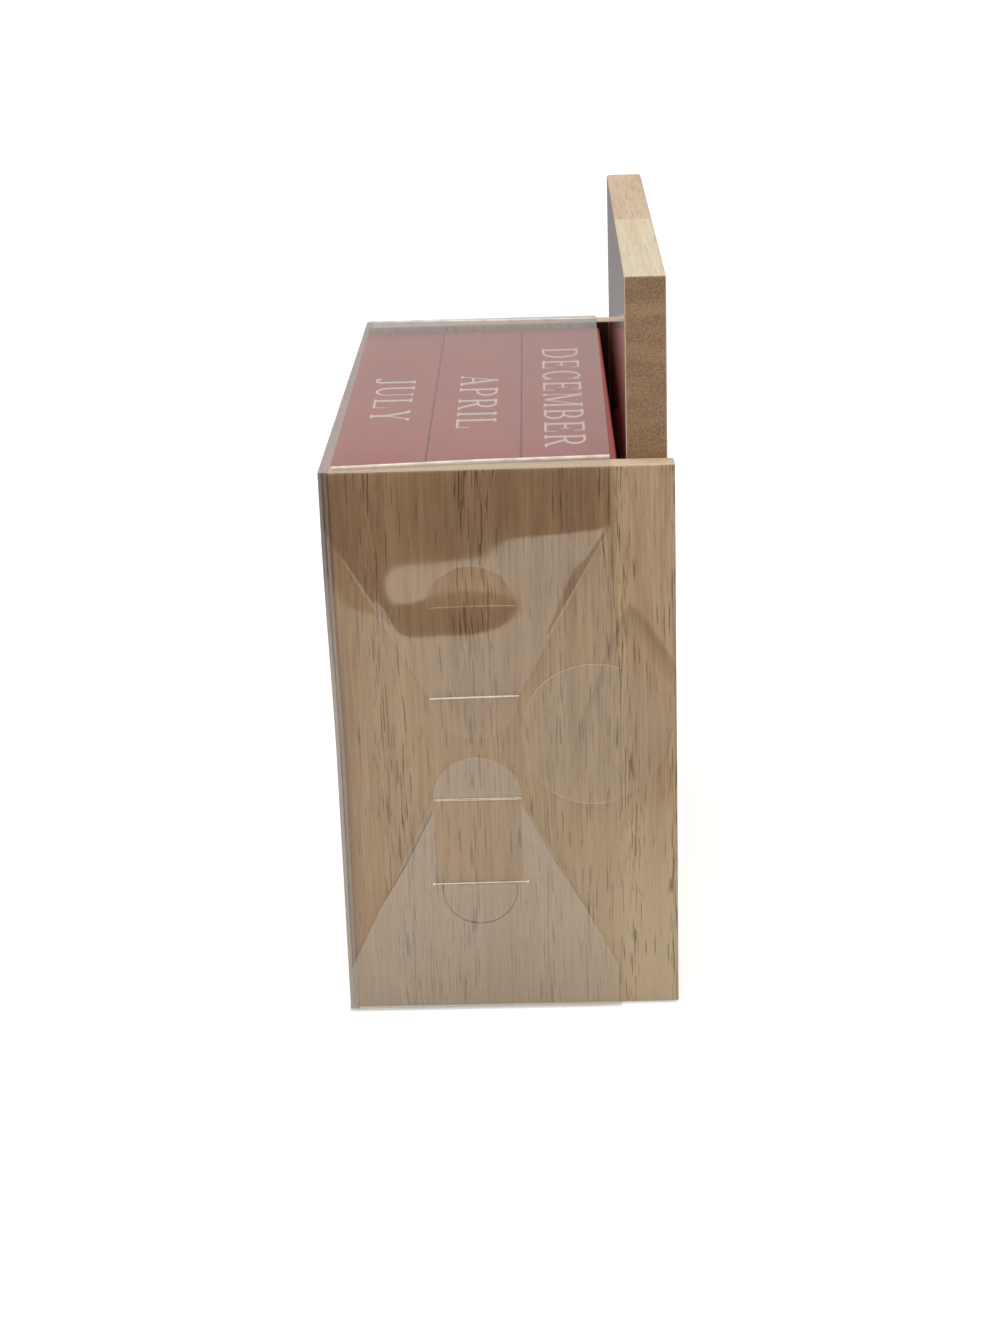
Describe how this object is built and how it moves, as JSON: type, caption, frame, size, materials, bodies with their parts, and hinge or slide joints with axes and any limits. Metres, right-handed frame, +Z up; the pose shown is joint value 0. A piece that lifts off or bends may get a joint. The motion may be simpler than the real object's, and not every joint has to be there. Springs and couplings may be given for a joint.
{
  "type": "perpetual block calendar",
  "caption": "Desk calendar of turned blocks: red month bars and date cubes in a wooden case with a tall back board, under a clear film cover.",
  "frame": {"origin": "middle of the underside of the calendar with its film cover on", "axes": "+X to the viewer's right along the bars, -Y is the front, +Z up"},
  "size_m": [0.1342, 0.064, 0.1403],
  "materials": {
    "rubberwood": "bare sanded rubberwood, upright grain on the sides",
    "back_board_wood": "bare sanded rubberwood with a red painted front face",
    "dowel_wood": "turned hardwood dowel",
    "red_paint": "satin red paint on wood with white lettering",
    "clear_film": "clear glossy folded film",
    "clear_seal": "clear round sticker"
  },
  "bodies": {
    "case": {"left_side_panel": "rubberwood", "right_side_panel": "rubberwood", "base_board": "rubberwood", "shelf_board": "rubberwood", "back_board_left_stave": "back_board_wood", "back_board_right_stave": "back_board_wood", "base_dowels": "dowel_wood", "shelf_dowels": "dowel_wood", "back_board_dowels": "dowel_wood"},
    "cover": {"cover_front_panel": "clear_film", "cover_top_panel": "clear_film", "cover_bottom_panel": "clear_film", "cover_left_side_flap": "clear_film", "cover_left_top_flap": "clear_film", "cover_left_bottom_flap": "clear_film", "cover_right_side_flap": "clear_film", "cover_right_top_flap": "clear_film", "cover_right_bottom_flap": "clear_film", "left_round_seal": "clear_seal", "right_round_seal": "clear_seal"},
    "month_bar_front": {"month_bar_front": "red_paint"},
    "month_bar_middle": {"month_bar_middle": "red_paint"},
    "month_bar_rear": {"month_bar_rear": "red_paint"},
    "date_cube_left": {"date_cube_left": "red_paint"},
    "date_cube_right": {"date_cube_right": "red_paint"},
    "weekday_bar_front": {"weekday_bar_front": "red_paint"},
    "weekday_bar_middle": {"weekday_bar_middle": "red_paint"}
  },
  "joints": [
    {"name": "cover_pull", "type": "slide", "parent": "case", "child": "cover", "axis": [0, -1, 0], "range_m": [0, 0.16]},
    {"name": "month_bar_front_pull", "type": "slide", "parent": "case", "child": "month_bar_front", "axis": [0, -1, 0], "range_m": [0, 0.1]},
    {"name": "month_bar_middle_pull", "type": "slide", "parent": "case", "child": "month_bar_middle", "axis": [0, -1, 0], "range_m": [0, 0.08]},
    {"name": "month_bar_rear_pull", "type": "slide", "parent": "case", "child": "month_bar_rear", "axis": [0, -1, 0], "range_m": [0, 0.06]},
    {"name": "date_cube_left_pull", "type": "slide", "parent": "case", "child": "date_cube_left", "axis": [0, -1, 0], "range_m": [0, 0.07]},
    {"name": "date_cube_right_pull", "type": "slide", "parent": "case", "child": "date_cube_right", "axis": [0, -1, 0], "range_m": [0, 0.07]},
    {"name": "weekday_bar_front_pull", "type": "slide", "parent": "case", "child": "weekday_bar_front", "axis": [0, -1, 0], "range_m": [0, 0.09]},
    {"name": "weekday_bar_middle_pull", "type": "slide", "parent": "case", "child": "weekday_bar_middle", "axis": [0, -1, 0], "range_m": [0, 0.07]}
  ],
  "couplings": [
    {"joint": "month_bar_front_pull", "follows": "cover_pull", "ratio": 0.625},
    {"joint": "month_bar_middle_pull", "follows": "cover_pull", "ratio": 0.5},
    {"joint": "month_bar_rear_pull", "follows": "cover_pull", "ratio": 0.375},
    {"joint": "date_cube_left_pull", "follows": "cover_pull", "ratio": 0.4375},
    {"joint": "date_cube_right_pull", "follows": "cover_pull", "ratio": 0.4375},
    {"joint": "weekday_bar_front_pull", "follows": "cover_pull", "ratio": 0.5625},
    {"joint": "weekday_bar_middle_pull", "follows": "cover_pull", "ratio": 0.4375}
  ]
}
